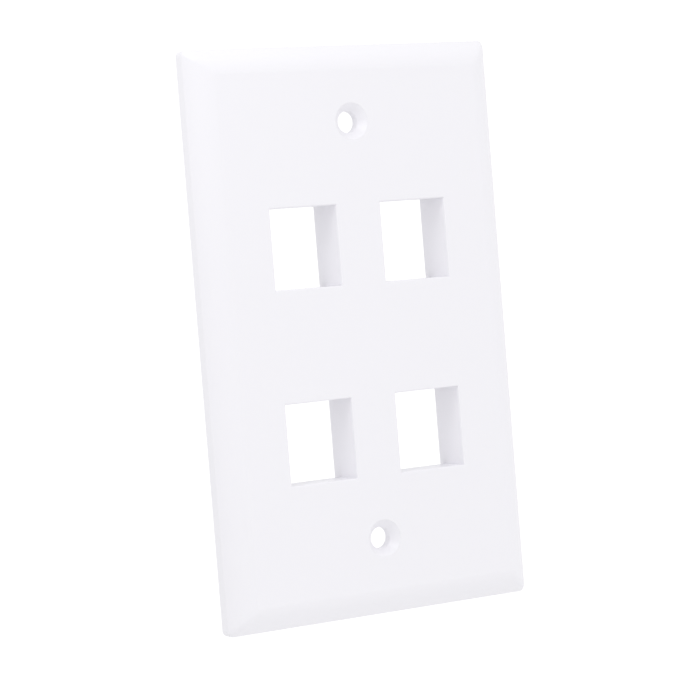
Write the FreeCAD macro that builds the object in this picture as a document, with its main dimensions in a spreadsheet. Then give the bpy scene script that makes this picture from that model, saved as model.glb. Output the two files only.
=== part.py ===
import FreeCAD, Part
import math
import os
import Sketcher

# Four-port keystone faceplate for a single-gang wall box, moulded in one piece.
# Frame: X to the right, +Y into the wall, Z up.  Y = 0 is the wall plane, where the back
# rim bears, and the origin is the point midway between the two screw holes.
# Every sketch plane below lies "n" millimetres in front of the wall plane, that is at Y = -n.

Vector = FreeCAD.Vector

LEAST_CHANGE = 1e-3    # mm3, below which a feature counts as having done nothing
FLATNESS = 1e-4        # mm, how closely an edge keeps to the front face

# Driving dimensions: alias, value, what it is.
DIMENSIONS = [
    ("plate_width", 69.85, "outline across X"),
    ("plate_height", 114.3, "outline along Z"),
    ("plate_depth", 6.0, "wall plane to front face"),
    ("corner_radius", 1.2, "outline corners"),
    ("skirt_height", 2.3, "straight edge before the crown begins"),
    ("crown_width", 5.1, "bevel, from the edge in to the flat face"),
    ("crown_break_angle", 5.0, "slope of the bevel where it meets the flat face"),
    ("crown_corner_radius", 0.5, "corners of the flat face"),
    ("skirt_wall", 1.8, "perimeter wall"),
    ("face_wall", 2.4, "thickness of the flat face"),
    ("hollow_step", 1.5, "straight depth of the hollow before its sloped side"),
    ("screw_spacing", 83.34, "between the screw holes, along Z"),
    ("screw_hole_diameter", 4.4, "clearance for a 6-32 screw"),
    ("screw_sink_diameter", 7.4, "countersink at the face"),
    ("screw_sink_angle", 82.0, "countersink for an oval-head screw"),
    ("boss_wall", 1.4, "boss wall outside the countersink"),
    ("boss_height", 1.0, "boss above the inside of the face"),
    ("port_pitch_across", 25.3, "between port columns"),
    ("port_pitch_along", 38.4, "between port rows"),
    ("port_drop", 1.85, "middle of the ports below the middle of the plate"),
    ("jack_width", 15.0, "port opening across X"),
    ("jack_height", 16.0, "port opening along Z"),
    ("port_edge_radius", 0.3, "round on the front edges of a port"),
    ("frame_wall", 1.6, "walls of the jack frame behind a port"),
    ("frame_depth", 9.0, "front face to the back of the jack frame"),
    ("latch_depth", 4.0, "face to the ledge that the spring latch bears on"),
    ("latch_room", 4.0, "space above the jack for its spring latch"),
    ("hook_depth", 6.5, "face to the ledge that the fixed hook bears on"),
    ("hook_room", 2.0, "space below the jack for its fixed hook"),
    ("catch_depth", 7.8, "face to the front of the two rear catches"),
    ("catch_reach", 1.9, "how far a catch stands out of its wall"),
    ("rib_wall", 1.2, "stiffening ribs"),
    ("rib_height", 2.6, "stiffening ribs, above the inside of the face"),
]

# Sizes that follow from the driving ones.
CROWN_STEPS = 5
DERIVED = [
    ("crown_drop", "=plate_depth - skirt_height"),
    ("crown_end_angle", "=2 * atan(crown_drop / crown_width) / 1deg - crown_break_angle"),
    ("crown_arc_radius",
     "=crown_width / (sin(crown_end_angle * 1deg) - sin(crown_break_angle * 1deg))"),
    ("face_inside", "=plate_depth - face_wall"),
    ("port_top", "=jack_height / 2"),
    ("frame_back", "=plate_depth - frame_depth"),
    ("frame_middle", "=(latch_room - hook_room) / 2"),
    ("frame_width", "=jack_width + 2 * frame_wall"),
    ("frame_height", "=jack_height + latch_room + hook_room + 2 * frame_wall"),
]


def crown_formulas():
    """Inset, height and corner radius of each section of the bevel, from edge to flat face."""
    rows = []
    for step in range(CROWN_STEPS + 1):
        angle = (f"(crown_end_angle + (crown_break_angle - crown_end_angle)"
                 f" * {step} / {CROWN_STEPS}) * 1deg")
        rows.append((f"crown_inset_{step}", "=crown_width - crown_arc_radius"
                     f" * (sin({angle}) - sin(crown_break_angle * 1deg))"))
        rows.append((f"crown_rise_{step}", "=plate_depth - crown_arc_radius"
                     f" * (cos(crown_break_angle * 1deg) - cos({angle}))"))
        rows.append((f"crown_corner_{step}", "=corner_radius - (corner_radius"
                     f" - crown_corner_radius) * crown_inset_{step} / crown_width"))
    return rows


def make_sheet(doc):
    sheet = doc.addObject("Spreadsheet::Sheet", "dims")
    row = 1
    for alias, value, note in DIMENSIONS:
        sheet.set(f"A{row}", alias)
        sheet.set(f"B{row}", str(value))
        sheet.set(f"C{row}", note)
        sheet.setAlias(f"B{row}", alias)
        row += 1
    for alias, formula in DERIVED + crown_formulas():
        sheet.set(f"A{row}", alias)
        sheet.set(f"B{row}", formula)
        sheet.setAlias(f"B{row}", alias)
        row += 1
    doc.recompute()
    return sheet


class Builder:
    """One PartDesign body, with the few kinds of feature that the faceplate needs."""

    def __init__(self, doc, sheet, name):
        self.doc = doc
        self.sheet = sheet
        self.body = doc.addObject("PartDesign::Body", name)
        self.body.Label = name

    def number(self, expression):
        """The present value of an expression in the sheet's aliases."""
        value = self.sheet.evalExpression(expression)
        return float(getattr(value, "Value", value))

    def plane(self, role):
        return next(f for f in self.body.Origin.OriginFeatures if f.Role == role)

    def sketch(self, name, role="XZ_Plane", offset="0"):
        """A sketch parallel to an origin plane, offset along that plane's normal."""
        made = self.body.newObject("Sketcher::SketchObject", name)
        made.AttachmentSupport = [(self.plane(role), "")]
        made.MapMode = "FlatFace"
        made.setExpression("AttachmentOffset.Base.z", bound(offset))
        self.doc.recompute()
        return made

    def place(self, sketch, geometry, position, x, y):
        """Ties one point of the sketch to the sketch origin by two bound distances."""
        for kind, expression in (("DistanceX", x), ("DistanceY", y)):
            index = sketch.addConstraint(Sketcher.Constraint(
                kind, -1, 1, geometry, position, self.number(expression)))
            sketch.setExpression(f"Constraints[{index}]", bound(expression))

    def polygon(self, sketch, corners):
        """A closed outline of straight lines through corners given as expressions."""
        points = [Vector(self.number(x), self.number(y), 0) for x, y in corners]
        first = sketch.GeometryCount
        count = len(points)
        for i, start in enumerate(points):
            sketch.addGeometry(Part.LineSegment(start, points[(i + 1) % count]), False)
        for i in range(count):
            sketch.addConstraint(Sketcher.Constraint(
                "Coincident", first + i, 2, first + (i + 1) % count, 1))
        for i, (x, y) in enumerate(corners):
            self.place(sketch, first + i, 1, x, y)

    def rectangle(self, sketch, width, height, x="0", y="0"):
        self.polygon(sketch, [
            (f"{x} - ({width}) / 2", f"{y} - ({height}) / 2"),
            (f"{x} + ({width}) / 2", f"{y} - ({height}) / 2"),
            (f"{x} + ({width}) / 2", f"{y} + ({height}) / 2"),
            (f"{x} - ({width}) / 2", f"{y} + ({height}) / 2")])

    def rounded_rectangle(self, sketch, width, height, radius):
        """A rectangle about the sketch origin with four equal corner arcs."""
        reach_x = f"(({width}) / 2 - ({radius}))"
        reach_y = f"(({height}) / 2 - ({radius}))"
        r = self.number(radius)
        quarter = math.pi / 2
        signs = [(1, 1), (-1, 1), (-1, -1), (1, -1)]
        centres = [Vector(sx * self.number(reach_x), sy * self.number(reach_y), 0)
                   for sx, sy in signs]
        for i, centre in enumerate(centres):
            circle = Part.Circle(centre, Vector(0, 0, 1), r)
            arc = Part.ArcOfCircle(circle, i * quarter, (i + 1) * quarter)
            sketch.addGeometry(arc, False)
        for i in range(4):
            start = sketch.getPoint(i, 2)
            end = sketch.getPoint((i + 1) % 4, 1)
            sketch.addGeometry(Part.LineSegment(start, end), False)
        for i in range(4):
            sketch.addConstraint(Sketcher.Constraint("Tangent", i, 2, 4 + i, 1))
            sketch.addConstraint(Sketcher.Constraint("Tangent", 4 + i, 2, (i + 1) % 4, 1))
        for i, (sx, sy) in enumerate(signs):
            self.place(sketch, i, 3, f"{sx} * {reach_x}", f"{sy} * {reach_y}")
        index = sketch.addConstraint(Sketcher.Constraint("Radius", 0, r))
        sketch.setExpression(f"Constraints[{index}]", bound(radius))

    def circle(self, sketch, diameter, x, y):
        centre = Vector(self.number(x), self.number(y), 0)
        radius = self.number(f"({diameter}) / 2")
        geometry = sketch.addGeometry(Part.Circle(centre, Vector(0, 0, 1), radius), False)
        index = sketch.addConstraint(Sketcher.Constraint("Diameter", geometry, 2 * radius))
        sketch.setExpression(f"Constraints[{index}]", bound(diameter))
        self.place(sketch, geometry, 3, x, y)

    def pad(self, name, sketch, length, backwards=False):
        made = self.body.newObject("PartDesign::Pad", name)
        made.Profile = sketch
        made.setExpression("Length", bound(length))
        made.Reversed = backwards
        return self.finish(made, grows=True)

    def pocket(self, name, sketch, length, backwards=False, midplane=False):
        made = self.body.newObject("PartDesign::Pocket", name)
        made.Profile = sketch
        made.setExpression("Length", bound(length))
        made.Reversed = backwards
        made.Midplane = midplane
        return self.finish(made, grows=False)

    def loft(self, name, kind, sketches, ruled):
        made = self.body.newObject(f"PartDesign::{kind}Loft", name)
        made.Profile = sketches[0]
        made.Sections = sketches[1:]
        made.Ruled = ruled
        return self.finish(made, grows=kind == "Additive")

    def finish(self, feature, grows):
        """Recomputes and makes sure that the feature added or removed material."""
        before = feature.BaseFeature.Shape.Volume if feature.BaseFeature else 0.0
        self.doc.recompute()
        change = feature.Shape.Volume - before
        if (change > 0) != grows or abs(change) < LEAST_CHANGE:
            raise RuntimeError(f"{feature.Name} changed the volume by {change:.4f} mm3")
        return feature


def bound(expression):
    """The same expression with every alias read from the sheet."""
    names = [a for a, *_ in DIMENSIONS] + [a for a, _ in DERIVED + crown_formulas()]
    words, text = [], ""
    for letter in expression + " ":
        if letter.isalnum() or letter == "_":
            text += letter
            continue
        words.append(f"dims.{text}" if text in names else text)
        words.append(letter)
        text = ""
    return "".join(words).strip()


def outer_shell(make):
    """Skirt, crowned bevel and flat front face."""
    foot = make.sketch("skirt_outline")
    make.rounded_rectangle(foot, "plate_width", "plate_height", "corner_radius")
    make.pad("skirt", foot, "skirt_height")
    sections = []
    for step in range(CROWN_STEPS + 1):
        section = make.sketch(f"crown_section_{step}", offset=f"crown_rise_{step}")
        make.rounded_rectangle(section, f"plate_width - 2 * crown_inset_{step}",
                               f"plate_height - 2 * crown_inset_{step}",
                               f"crown_corner_{step}")
        sections.append(section)
    make.loft("crown", "Additive", sections, ruled=False)


def back_hollow(make):
    """The hollow behind the face, whose sloped side keeps the wall even under the bevel."""
    rim = make.sketch("hollow_outline")
    make.rounded_rectangle(rim, "plate_width - 2 * skirt_wall",
                           "plate_height - 2 * skirt_wall", "crown_corner_radius")
    make.pocket("hollow_mouth", rim, "hollow_step", backwards=True)
    wide = make.sketch("hollow_wide", offset="hollow_step")
    make.rounded_rectangle(wide, "plate_width - 2 * skirt_wall",
                           "plate_height - 2 * skirt_wall", "crown_corner_radius")
    narrow = make.sketch("hollow_narrow", offset="face_inside")
    make.rounded_rectangle(narrow, "plate_width - 2 * crown_width",
                           "plate_height - 2 * crown_width", "crown_corner_radius")
    make.loft("hollow_slope", "Subtractive", [wide, narrow], ruled=True)


def ribs(make):
    """Cross ribs through each row and each column of ports, from skirt to skirt."""
    flat = make.sketch("rib_lines", offset="face_inside")
    for side in (-1, 1):
        make.rectangle(flat, "plate_width - skirt_wall", "rib_wall",
                       y=f"{side} * port_pitch_along / 2 - port_drop")
    make.pad("row_ribs", flat, "rib_height", backwards=True)
    upright = make.sketch("rib_columns", offset="face_inside")
    for side in (-1, 1):
        make.rectangle(upright, "rib_wall", "plate_height - skirt_wall",
                       x=f"{side} * port_pitch_across / 2")
    make.pad("column_ribs", upright, "rib_height", backwards=True)


def screw_holes(make):
    """Two countersunk holes, each with a low boss behind it."""
    discs = make.sketch("boss_discs", offset="face_inside")
    for side in (-1, 1):
        make.circle(discs, "screw_sink_diameter + 2 * boss_wall", "0",
                    f"{side} * screw_spacing / 2")
    make.pad("bosses", discs, "boss_height", backwards=True)
    centres = make.sketch("screw_centres", offset="plate_depth")
    for side in (-1, 1):
        make.circle(centres, "screw_hole_diameter", "0", f"{side} * screw_spacing / 2")
    hole = make.body.newObject("PartDesign::Hole", "screw_holes")
    hole.Profile = centres
    make.doc.recompute()
    hole.Threaded = False
    hole.HoleCutType = "Countersink"
    hole.setExpression("Diameter", bound("screw_hole_diameter"))
    hole.setExpression("HoleCutDiameter", bound("screw_sink_diameter"))
    hole.setExpression("HoleCutCountersinkAngle", bound("screw_sink_angle"))
    hole.DepthType = "ThroughAll"
    make.finish(hole, grows=False)


def keystone_ports(make):
    """One port, with its jack frame, ledges and catches, repeated two by two."""
    x = "port_pitch_across / -2"
    z = "(port_pitch_along / 2 - port_drop)"
    outline = make.sketch("frame_outline", offset="face_inside")
    make.rectangle(outline, "frame_width", "frame_height", x, f"({z} + frame_middle)")
    frame = make.pad("jack_frame", outline, "face_inside - frame_back", backwards=True)

    section = make.sketch("jack_section", role="YZ_Plane", offset=x)
    top, bottom = f"{z} + port_top", f"{z} - port_top"
    past = "2 * frame_depth"
    make.polygon(section, [
        (f"{y} - plate_depth", height) for y, height in [
            (f"0 - {past}", bottom),
            ("hook_depth", bottom),
            ("hook_depth", f"{bottom} - hook_room"),
            ("catch_depth", f"{bottom} - hook_room"),
            ("catch_depth", f"{bottom} - hook_room + catch_reach"),
            ("frame_depth", f"{bottom} - hook_room"),
            (past, f"{bottom} - hook_room"),
            (past, f"{top} + latch_room"),
            ("frame_depth", f"{top} + latch_room"),
            ("catch_depth", f"{top} + latch_room - catch_reach"),
            ("catch_depth", f"{top} + latch_room"),
            ("latch_depth", f"{top} + latch_room"),
            ("latch_depth", top),
            (f"0 - {past}", top)]])
    opening = make.pocket("jack_opening", section, "jack_width", midplane=True)

    grid = make.body.newObject("PartDesign::MultiTransform", "port_grid")
    grid.Originals = [frame, opening]
    steps = []
    for name, role, pitch, back in (("across", "X_Axis", "port_pitch_across", False),
                                    ("down", "Z_Axis", "port_pitch_along", True)):
        step = make.body.newObject("PartDesign::LinearPattern", f"ports_{name}")
        step.Direction = (make.plane(role), [""])
        step.Reversed = back
        step.Occurrences = 2
        step.setExpression("Length", bound(pitch))
        steps.append(step)
    grid.Transformations = steps
    make.body.Tip = grid
    make.doc.recompute()
    return grid


def soft_edges(make, base):
    """Small rounds on the front edges of the ports."""
    front = -make.number("plate_depth")
    limit_x = make.number("port_pitch_across / 2 + jack_width")
    limit_z = make.number("port_pitch_along / 2 + jack_height")
    names = []
    for i, edge in enumerate(base.Shape.Edges, 1):
        box = edge.BoundBox
        flat = abs(box.YMin - front) < FLATNESS and box.YLength < FLATNESS
        near = max(abs(box.XMin), abs(box.XMax)) < limit_x
        inside = max(abs(box.ZMin), abs(box.ZMax)) < limit_z
        straight = edge.Curve.TypeId == "Part::GeomLine"
        if flat and near and inside and straight:
            names.append(f"Edge{i}")
    rounds = make.body.newObject("PartDesign::Fillet", "port_edges")
    rounds.Base = (base, names)
    rounds.setExpression("Radius", bound("port_edge_radius"))
    return make.finish(rounds, grows=False)


def check(doc, body):
    for item in doc.Objects:
        if {"Invalid", "Error"} & set(item.State):
            raise RuntimeError(f"{item.Name} is {item.State}")
    if body.Shape.isNull() or not body.Shape.isValid() or len(body.Shape.Solids) != 1:
        raise RuntimeError(f"{body.Label} is not one valid solid")


def main():
    doc = FreeCAD.newDocument("keystone_faceplate")
    sheet = make_sheet(doc)
    make = Builder(doc, sheet, "faceplate")
    outer_shell(make)
    back_hollow(make)
    ribs(make)
    screw_holes(make)
    grid = keystone_ports(make)
    soft_edges(make, grid)
    doc.recompute()
    check(doc, make.body)
    os.makedirs("parts", exist_ok=True)
    make.body.Shape.exportStep(f"parts/{make.body.Label}.step")
    box = make.body.Shape.BoundBox
    print(f"{make.body.Label}: volume {make.body.Shape.Volume:.1f} mm3,"
          f" {box.XLength:.2f} x {box.YLength:.2f} x {box.ZLength:.2f} mm")


main()
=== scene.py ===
# %% [markdown]
# # A four-port keystone faceplate
# The real thing is a single injection moulding in white plastic. Its shape is already complete
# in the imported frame, so this lesson is about finish, light and camera. The frame loads first,
# because the floor, the lamp's aim and the camera's aim are worked out from its box.

# %% Load the frame
import math
import bmesh
import bpy
from mathutils import Matrix, Vector


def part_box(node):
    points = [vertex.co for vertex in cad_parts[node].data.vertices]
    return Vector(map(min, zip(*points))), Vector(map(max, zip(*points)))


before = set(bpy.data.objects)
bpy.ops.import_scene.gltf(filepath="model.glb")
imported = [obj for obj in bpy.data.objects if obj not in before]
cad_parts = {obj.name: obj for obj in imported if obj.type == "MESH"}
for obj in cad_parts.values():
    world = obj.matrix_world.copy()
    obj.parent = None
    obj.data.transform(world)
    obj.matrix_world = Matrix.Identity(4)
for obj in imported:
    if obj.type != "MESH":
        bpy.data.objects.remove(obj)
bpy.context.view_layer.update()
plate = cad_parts["faceplate"]
plate_low, plate_high = (Vector(corner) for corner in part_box("faceplate"))
print("faceplate spans", [round(1000 * side, 2) for side in plate_high - plate_low], "mm")

# %% [markdown]
# ## Shared effect: the skin of a moulding
# A polished mould still leaves a skin that is not quite flat: a faint long ripple where the
# plastic shrank, and a very fine grain. Both are far smaller than any real facet, so they are
# noise in a node group. The group gives out a height, for a Bump node, and a roughness that
# changes a little over the surface, so that highlights are not perfectly even.

# %% The moulded-skin node group
RIPPLE_DETAIL = 2.0
GRAIN_DETAIL = 3.0


def moulded_skin_group():
    """A node group: ripple and grain in, height and roughness out."""
    group = bpy.data.node_groups.new("moulded_skin", "ShaderNodeTree")
    for name, start in (("Ripple Scale", 90.0), ("Grain Scale", 2600.0),
                        ("Grain Share", 0.12), ("Roughness Low", 0.3),
                        ("Roughness High", 0.4)):
        socket = group.interface.new_socket(name, in_out="INPUT", socket_type="NodeSocketFloat")
        socket.default_value = start
    for name in ("Height", "Roughness"):
        group.interface.new_socket(name, in_out="OUTPUT", socket_type="NodeSocketFloat")
    nodes, links = group.nodes, group.links
    given = nodes.new("NodeGroupInput")
    result = nodes.new("NodeGroupOutput")
    where = nodes.new("ShaderNodeTexCoord")

    ripple = nodes.new("ShaderNodeTexNoise")
    ripple.inputs["Detail"].default_value = RIPPLE_DETAIL
    grain = nodes.new("ShaderNodeTexNoise")
    grain.inputs["Detail"].default_value = GRAIN_DETAIL
    for noise, scale in ((ripple, "Ripple Scale"), (grain, "Grain Scale")):
        links.new(where.outputs["Object"], noise.inputs["Vector"])
        links.new(given.outputs[scale], noise.inputs["Scale"])

    blend = nodes.new("ShaderNodeMix")
    links.new(given.outputs["Grain Share"], blend.inputs["Factor"])
    links.new(ripple.outputs["Fac"], blend.inputs["A"])
    links.new(grain.outputs["Fac"], blend.inputs["B"])
    links.new(blend.outputs["Result"], result.inputs["Height"])

    spread = nodes.new("ShaderNodeMapRange")
    links.new(ripple.outputs["Fac"], spread.inputs["Value"])
    links.new(given.outputs["Roughness Low"], spread.inputs["To Min"])
    links.new(given.outputs["Roughness High"], spread.inputs["To Max"])
    links.new(spread.outputs["Result"], result.inputs["Roughness"])
    return group


moulded_skin = moulded_skin_group()
print("moulded_skin has", len(moulded_skin.nodes), "nodes")

# %% [markdown]
# ## The white plastic
# The plate is a cool white thermoplastic with a semi-gloss skin. White pigment is never
# perfectly mixed, so the colour drifts very slightly, over centimetres, between two near whites.
# A mould is never dead sharp either, so the ribs, frames and rim shade as if rounded a little.

# %% White moulded plastic
WARM_WHITE = (0.902, 0.893, 0.932, 1.0)
COOL_WHITE = (0.912, 0.903, 0.945, 1.0)
DRIFT_SCALE = 28.0
DRIFT_DETAIL = 1.0
PLASTIC_IOR = 1.53
SKIN_STRENGTH = 0.25
SKIN_DEPTH = 0.00002
EDGE_ROUND = 0.00018
EDGE_SAMPLES = 8


def white_plastic():
    """The one material of the plate."""
    material = bpy.data.materials.new("white_moulded_plastic")
    material.use_nodes = True
    nodes, links = material.node_tree.nodes, material.node_tree.links
    shader = nodes["Principled BSDF"]
    shader.inputs["IOR"].default_value = PLASTIC_IOR

    skin = nodes.new("ShaderNodeGroup")
    skin.node_tree = moulded_skin
    bump = nodes.new("ShaderNodeBump")
    bump.inputs["Strength"].default_value = SKIN_STRENGTH
    bump.inputs["Distance"].default_value = SKIN_DEPTH
    links.new(skin.outputs["Height"], bump.inputs["Height"])
    edge = nodes.new("ShaderNodeBevel")
    edge.samples = EDGE_SAMPLES
    edge.inputs["Radius"].default_value = EDGE_ROUND
    links.new(edge.outputs["Normal"], bump.inputs["Normal"])
    links.new(bump.outputs["Normal"], shader.inputs["Normal"])
    links.new(skin.outputs["Roughness"], shader.inputs["Roughness"])

    where = nodes.new("ShaderNodeTexCoord")
    drift = nodes.new("ShaderNodeTexNoise")
    drift.inputs["Scale"].default_value = DRIFT_SCALE
    drift.inputs["Detail"].default_value = DRIFT_DETAIL
    links.new(where.outputs["Object"], drift.inputs["Vector"])
    tint = nodes.new("ShaderNodeMix")
    tint.data_type = "RGBA"
    tint.inputs["A"].default_value = WARM_WHITE
    tint.inputs["B"].default_value = COOL_WHITE
    links.new(drift.outputs["Fac"], tint.inputs["Factor"])
    links.new(tint.outputs["Result"], shader.inputs["Base Color"])
    return material


plate.data.materials.clear()
plate.data.materials.append(white_plastic())
print("faceplate wears", plate.data.materials[0].name)

# %% [markdown]
# ## Floor
# A plain pale disc, well below the plate, because the plate hangs on a wall and stands on
# nothing. It gives the light something to bounce from and the other views a ground.

# %% A pale floor
FLOOR_DROP = 0.30
FLOOR_RADIUS = 0.55
FLOOR_SIDES = 96
FLOOR_COLOUR = (0.93, 0.93, 0.93, 1.0)
FLOOR_ROUGHNESS = 0.8


def plain_floor():
    """A level disc below the plate."""
    mesh = bpy.data.meshes.new("floor")
    shape = bmesh.new()
    bmesh.ops.create_circle(shape, cap_ends=True, segments=FLOOR_SIDES, radius=FLOOR_RADIUS)
    bmesh.ops.translate(shape, vec=(0.0, 0.0, plate_low.z - FLOOR_DROP), verts=shape.verts)
    shape.to_mesh(mesh)
    shape.free()
    floor = bpy.data.objects.new("floor", mesh)
    bpy.context.collection.objects.link(floor)
    paint = bpy.data.materials.new("pale_floor")
    paint.use_nodes = True
    shader = paint.node_tree.nodes["Principled BSDF"]
    shader.inputs["Base Color"].default_value = FLOOR_COLOUR
    shader.inputs["Roughness"].default_value = FLOOR_ROUGHNESS
    mesh.materials.append(paint)


plain_floor()
print("floor", round(FLOOR_DROP * 1000), "mm below the plate")

# %% [markdown]
# ## Light
# A white room does most of the work, and it is three rooms in one. The camera sees it as pure
# white. The plate is lit by a version just below white that leans: it is a little brighter
# above, in front and to the right than below, behind and to the left. The ports' walls shade
# towards their far ends because of it, and the lower edge of the plate is darker than the upper
# one. Mirror-like reflections see an even room below white, so that steep edges don't melt away.
# A near panel at the upper left then adds the slow fall of light across the face.

# %% White room
ROOM_WHITE = (1.0, 1.0, 1.0, 1.0)
ROOM_SEEN = 1.15
ROOM_LIGHT = 0.909
ROOM_LEAN = (0.1, -0.063, 0.085)
ROOM_MIRRORED = 0.934


def white_room():
    """A world whose brightness depends on the kind of ray that meets it."""
    world = bpy.data.worlds.new("white_room")
    world.use_nodes = True
    bpy.context.scene.world = world
    nodes, links = world.node_tree.nodes, world.node_tree.links
    path = nodes.new("ShaderNodeLightPath")

    def background(strength):
        room = nodes.new("ShaderNodeBackground")
        room.inputs["Strength"].default_value = strength
        room.inputs["Color"].default_value = ROOM_WHITE
        return room

    def choose(ray, otherwise, chosen):
        mix = nodes.new("ShaderNodeMixShader")
        links.new(path.outputs[ray], mix.inputs["Fac"])
        links.new(otherwise, mix.inputs[1])
        links.new(chosen, mix.inputs[2])
        return mix.outputs["Shader"]

    direction = nodes.new("ShaderNodeTexCoord")
    lean = nodes.new("ShaderNodeVectorMath")
    lean.operation = "DOT_PRODUCT"
    lean.inputs[1].default_value = ROOM_LEAN
    links.new(direction.outputs["Generated"], lean.inputs[0])
    strength = nodes.new("ShaderNodeMath")
    strength.operation = "ADD"
    strength.inputs[1].default_value = ROOM_LIGHT
    links.new(lean.outputs["Value"], strength.inputs[0])
    lit = background(ROOM_LIGHT)
    links.new(strength.outputs["Value"], lit.inputs["Strength"])

    mirrored = background(ROOM_MIRRORED).outputs["Background"]
    unseen = choose("Is Glossy Ray", lit.outputs["Background"], mirrored)
    seen = background(ROOM_SEEN).outputs["Background"]
    room = choose("Is Camera Ray", unseen, seen)
    links.new(room, nodes["World Output"].inputs["Surface"])


white_room()
print("room light", ROOM_LIGHT, "leaning by", ROOM_LEAN)

# %% Soft panel
KEY_PLACE = (-0.20, -0.10, 0.20)
KEY_SIZE = 0.12
KEY_POWER = 0.117


def panel(name, place, size, power):
    """A square area lamp that faces the middle of the plate."""
    lamp = bpy.data.lights.new(name, "AREA")
    lamp.shape = "SQUARE"
    lamp.size = size
    lamp.energy = power
    holder = bpy.data.objects.new(name, lamp)
    bpy.context.collection.objects.link(holder)
    aim = (plate_low + plate_high) / 2 - Vector(place)
    holder.matrix_world = (Matrix.Translation(place)
                           @ aim.to_track_quat("-Z", "Y").to_matrix().to_4x4())


panel("key_panel", KEY_PLACE, KEY_SIZE, KEY_POWER)
print("a near key panel from the upper left")

# %% [markdown]
# ## Camera
# A long lens, about half a metre away, some 30 degrees round to the left of the plate and barely
# above its middle, and tilted by a few degrees about its own axis.

# %% Camera
SENSOR = 36.0
LENS = 134.0566
AIM = Vector((-0.004584, plate_low.y, -0.00355))
DISTANCE = 0.517032
TURN_LEFT = math.radians(30.5214)
RAISE = math.radians(2.0433)
ROLL = math.radians(4.5639)
CLIP_START = 0.01


def make_camera():
    """The camera, aimed along the line that the angles give and rolled about it."""
    data = bpy.data.cameras.new("camera")
    data.sensor_width = SENSOR
    data.lens = LENS
    data.clip_start = CLIP_START
    camera = bpy.data.objects.new("camera", data)
    bpy.context.collection.objects.link(camera)
    away = Vector((-math.sin(TURN_LEFT) * math.cos(RAISE),
                   -math.cos(TURN_LEFT) * math.cos(RAISE),
                   math.sin(RAISE)))
    turn = (-away).to_track_quat("-Z", "Y").to_matrix() @ Matrix.Rotation(-ROLL, 3, "Z")
    camera.matrix_world = Matrix.Translation(AIM + DISTANCE * away) @ turn.to_4x4()
    return camera


scene = bpy.context.scene
scene.camera = make_camera()
scene.view_settings.view_transform = "Standard"
print("camera at", [round(1000 * v) for v in scene.camera.matrix_world.translation], "mm")
